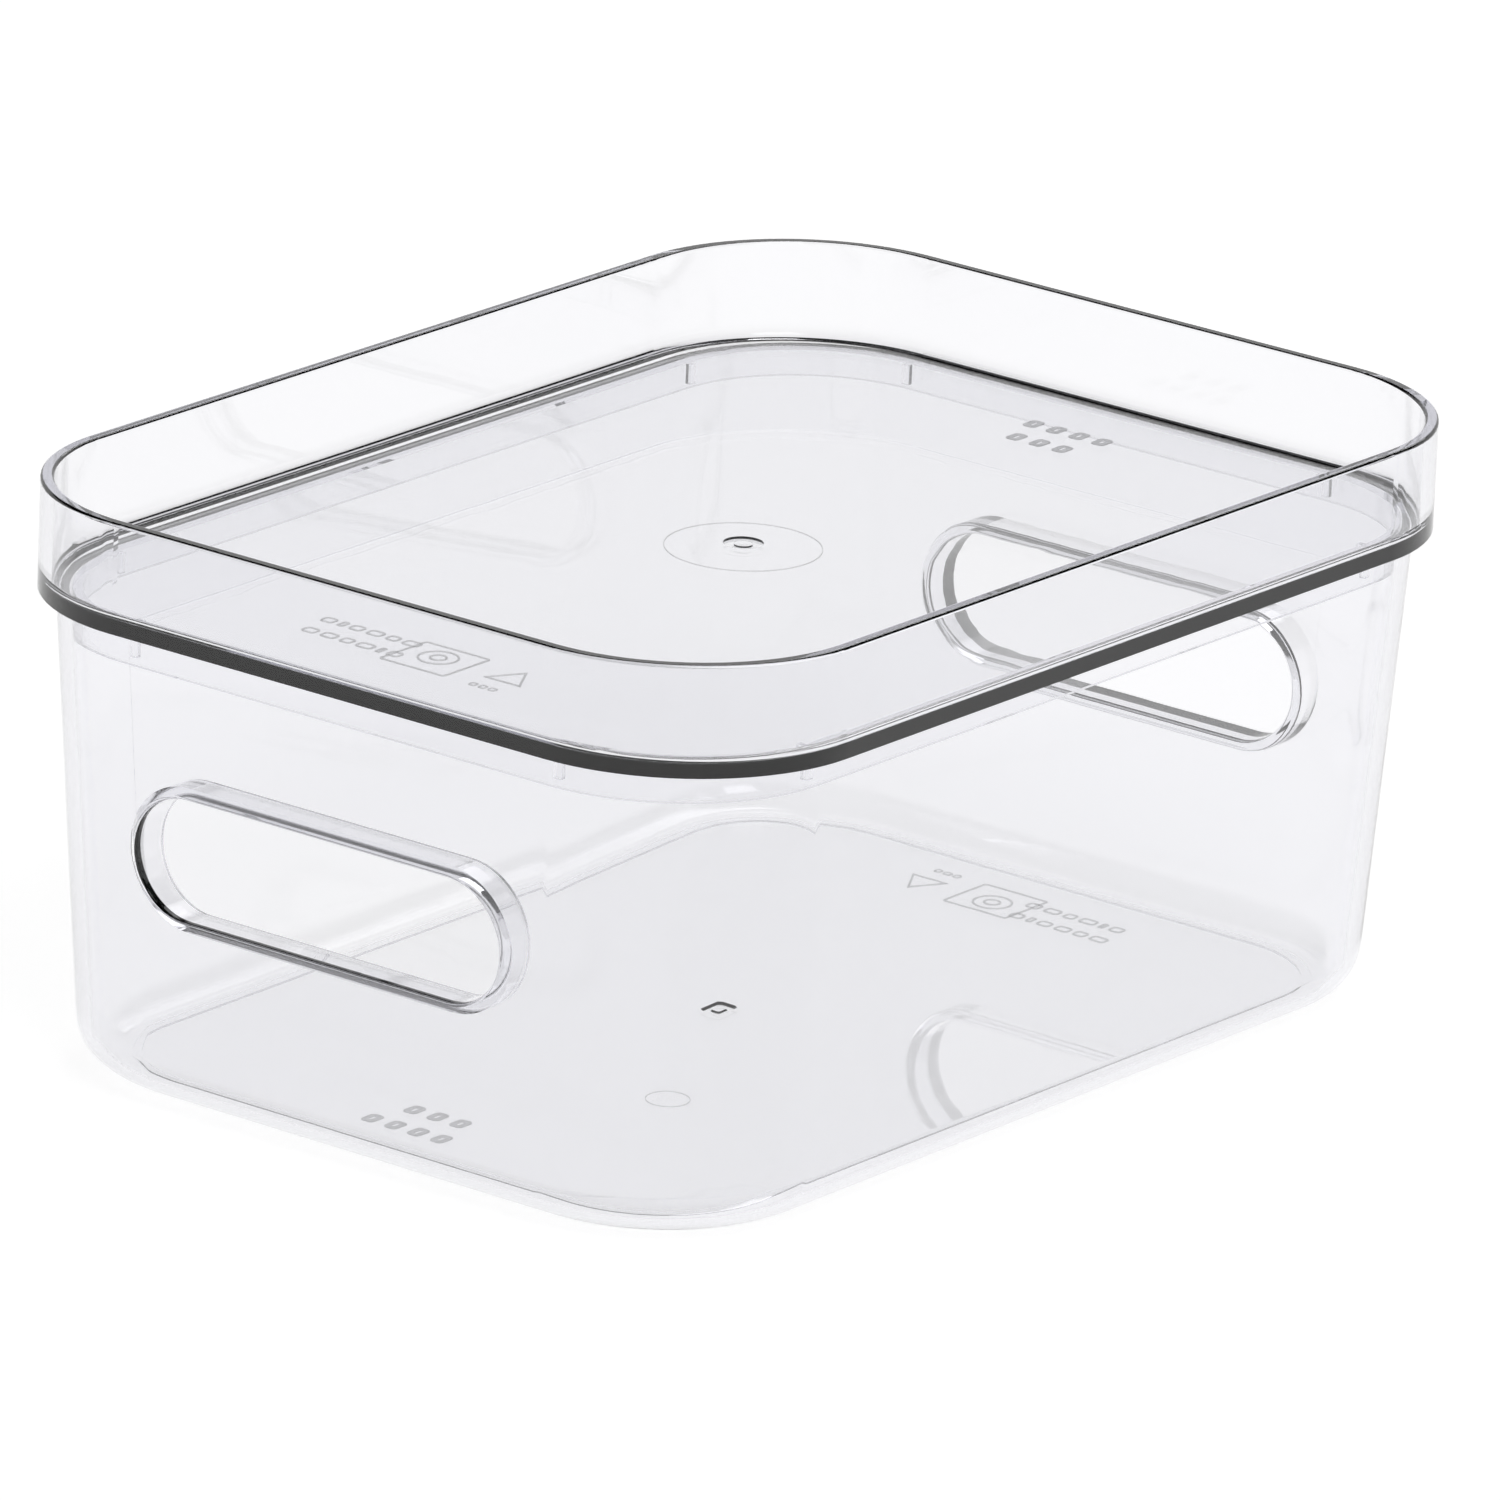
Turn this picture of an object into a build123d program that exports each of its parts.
"""Refrigerator bin with a lift-off tray lid: two clear, thin-walled, food-grade plastic mouldings.

Millimetres. Origin: centre of the bin's underside, on the shelf. +X runs along the length, toward
one handle slot; +Z is up. The tray lid is drawn seated on the bin's mouth.
"""

import os

from build123d import *

os.makedirs("parts", exist_ok=True)

# Bin shell
MOUTH_L = 193.0  # outside length at the mouth
MOUTH_W = 137.0  # outside width at the mouth
MOUTH_R = 28.5  # outside corner radius at the mouth
BASE_L = 184.0  # outside length at the base
BASE_W = 130.9  # outside width at the base
BASE_R = 28.5  # outside corner radius at the base
BIN_H = 74.1  # shelf to mouth
WALL = 2.1
BIN_FLOOR = 2.1  # shelf to inside floor
HEEL_R = 6.8  # rounding of the outside heel
COVE_R = 5.0  # rounding where the inside wall meets the floor

# Foot rim under the bin
FOOT_INSET = 8.0  # base outline to the rim's outer edge
FOOT_W = 1.5
FOOT_H = 0.4  # rim height below the floor's underside

# Handle slots, one in each end wall
SLOT_L = 69.0
SLOT_H = 19.4
SLOT_Z = 41.0  # shelf to slot centre
SLOT_SHIFT = 3.8  # sideways offset of each slot, opposite ways at the two ends
COLLAR_WALL = 1.8
COLLAR_DEPTH = 6.8  # outer wall face to the collar's inner end
SLOT_EDGE_R = 0.6

# Tray lid
RIM_L = 196.5
RIM_W = 144.0
RIM_R = 31.0
TRAY_Z = 74.4  # lower edge of the tray wall, and the ledge that sits on the mouth
TRAY_TOP = 91.5
FLOOR_TOP_Z = 75.9  # inside face of the tray floor
FLOOR_UNDER_Z = 73.4  # underside of the tray floor, sunk into the mouth
TRAY_COVE_R = 1.8
RIM_EDGE_R = 0.5

# Locating skirt under the tray, inside the bin's mouth
SKIRT_GAP = 0.45  # to the bin's inside wall
SKIRT_WALL = 1.5
SKIRT_DROP = 5.2  # below the ledge
RIB_W = 1.2
RIB_REACH = 1.0  # how far each locating rib stands in from the skirt
RIB_DROP = 4.2  # below the ledge

# Gate marks left by moulding
GATE_D = 6.2
GATE_DEPTH = 0.4
NUB_D = 2.9
NUB_H = 0.25

SLOT_WALL_X = BASE_L / 2 + (MOUTH_L - BASE_L) / 2 * SLOT_Z / BIN_H  # wall face at slot height
COLLAR_STOP = WALL / 2  # the collar ends halfway through the wall
EDGE_BAND = 0.9  # half the depth over which a slot's outer edge wanders on the sloping wall
SKIRT_OUT = WALL + SKIRT_GAP  # mouth outline to the skirt's outside
SKIRT_IN = SKIRT_OUT + SKIRT_WALL  # mouth outline to the skirt's inside
RIB_ROOT = SKIRT_WALL / 2  # how deep each rib is rooted in the skirt
SIDES = (-1, 1)


def outline(length, width, radius, inset, mode=Mode.ADD):
    """A rounded rectangle drawn a given distance inside the stated outline."""
    return RectangleRounded(length - 2 * inset, width - 2 * inset, radius - inset, mode=mode)


with BuildPart() as bin_body:
    with BuildSketch(Plane.XY.offset(FOOT_H)):
        outline(BASE_L, BASE_W, BASE_R, 0)
    with BuildSketch(Plane.XY.offset(BIN_H)):
        outline(MOUTH_L, MOUTH_W, MOUTH_R, 0)
    loft(ruled=True)
    fillet(bin_body.faces().sort_by(Axis.Z)[0].edges(), HEEL_R)

    # Cavity
    with BuildSketch(Plane.XY.offset(BIN_FLOOR)):
        outline(BASE_L, BASE_W, BASE_R, WALL)
    with BuildSketch(Plane.XY.offset(BIN_H)):
        outline(MOUTH_L, MOUTH_W, MOUTH_R, WALL)
    loft(ruled=True, mode=Mode.SUBTRACT)
    cavity_floor = bin_body.faces().filter_by(Axis.Z).group_by(Axis.Z)[1]
    fillet(cavity_floor.edges(), COVE_R)

    # Foot rim
    with BuildSketch(Plane.XY):
        outline(BASE_L, BASE_W, BASE_R, FOOT_INSET)
        outline(BASE_L, BASE_W, BASE_R, FOOT_INSET + FOOT_W, mode=Mode.SUBTRACT)
    extrude(amount=FOOT_H)

    # Handle slots and the collars round them
    for side in SIDES:
        inner_x = side * (SLOT_WALL_X - COLLAR_DEPTH)
        with BuildSketch(Plane.YZ.offset(inner_x)):
            with Locations((-side * SLOT_SHIFT, SLOT_Z)):
                SlotOverall(SLOT_L + 2 * COLLAR_WALL, SLOT_H + 2 * COLLAR_WALL)
        extrude(amount=side * (COLLAR_DEPTH - COLLAR_STOP))
        with BuildSketch(Plane.YZ.offset(inner_x - side)):
            with Locations((-side * SLOT_SHIFT, SLOT_Z)):
                SlotOverall(SLOT_L, SLOT_H)
        extrude(amount=side * 2 * COLLAR_DEPTH, mode=Mode.SUBTRACT)
        outer_x = side * SLOT_WALL_X
        near_wall = bin_body.edges().filter_by_position(
            Axis.X, outer_x - EDGE_BAND, outer_x + EDGE_BAND
        )
        slot_edges = near_wall.filter_by_position(
            Axis.Y, -SLOT_L / 2 - SLOT_SHIFT, SLOT_L / 2 + SLOT_SHIFT
        ).filter_by_position(Axis.Z, SLOT_Z - SLOT_H, SLOT_Z + SLOT_H)
        fillet(slot_edges, SLOT_EDGE_R)
        collar_end = bin_body.faces().filter_by(Axis.X).sort_by(Axis.X)
        lip = collar_end.filter_by_position(Axis.X, inner_x - SLOT_EDGE_R, inner_x + SLOT_EDGE_R)
        fillet(lip.edges(), SLOT_EDGE_R)

    # Gate mark in the middle of the floor
    with BuildSketch(Plane.XY.offset(BIN_FLOOR)):
        Circle(GATE_D / 2)
    extrude(amount=-GATE_DEPTH, mode=Mode.SUBTRACT)
    with BuildSketch(Plane.XY.offset(BIN_FLOOR - GATE_DEPTH)):
        Circle(NUB_D / 2)
    extrude(amount=NUB_H)

bin_body.part.label = "bin"
export_step(bin_body.part, "parts/bin.step")

with BuildPart() as tray_lid:
    with BuildSketch(Plane.XY.offset(TRAY_Z)):
        outline(RIM_L, RIM_W, RIM_R, 0)
    extrude(amount=TRAY_TOP - TRAY_Z)
    with BuildSketch(Plane.XY.offset(FLOOR_TOP_Z)):
        outline(RIM_L, RIM_W, RIM_R, WALL)
    extrude(amount=TRAY_TOP - FLOOR_TOP_Z, mode=Mode.SUBTRACT)
    tray_floor = tray_lid.faces().filter_by(Axis.Z).group_by(Axis.Z)[1]
    fillet(tray_floor.edges(), TRAY_COVE_R)
    fillet(tray_lid.faces().sort_by(Axis.Z)[-1].edges(), RIM_EDGE_R)

    # Sunk middle of the floor
    with BuildSketch(Plane.XY.offset(FLOOR_UNDER_Z)):
        outline(MOUTH_L, MOUTH_W, MOUTH_R, SKIRT_OUT)
    extrude(amount=TRAY_Z - FLOOR_UNDER_Z)

    # Locating skirt
    with BuildSketch(Plane.XY.offset(TRAY_Z)):
        outline(MOUTH_L, MOUTH_W, MOUTH_R, SKIRT_OUT)
        outline(MOUTH_L, MOUTH_W, MOUTH_R, SKIRT_IN, mode=Mode.SUBTRACT)
    extrude(amount=-SKIRT_DROP)

    # Locating ribs inside the skirt, where its straights meet its corners
    end_x = MOUTH_L / 2 - SKIRT_IN + RIB_ROOT
    side_y = MOUTH_W / 2 - SKIRT_IN + RIB_ROOT
    corner_x = MOUTH_L / 2 - MOUTH_R
    corner_y = MOUTH_W / 2 - MOUTH_R
    rib_depth = RIB_REACH + RIB_ROOT
    for side in SIDES:
        for end in SIDES:
            with Locations((side * (end_x - rib_depth / 2), end * corner_y, TRAY_Z)):
                Box(rib_depth, RIB_W, RIB_DROP, align=(Align.CENTER, Align.CENTER, Align.MAX))
            with Locations((side * corner_x, end * (side_y - rib_depth / 2), TRAY_Z)):
                Box(RIB_W, rib_depth, RIB_DROP, align=(Align.CENTER, Align.CENTER, Align.MAX))

    # Gate mark in the middle of the tray floor
    with BuildSketch(Plane.XY.offset(FLOOR_TOP_Z)):
        Circle(GATE_D / 2)
    extrude(amount=-GATE_DEPTH, mode=Mode.SUBTRACT)
    with BuildSketch(Plane.XY.offset(FLOOR_TOP_Z - GATE_DEPTH)):
        Circle(NUB_D / 2)
    extrude(amount=NUB_H)

tray_lid.part.label = "tray_lid"
export_step(tray_lid.part, "parts/tray_lid.step")
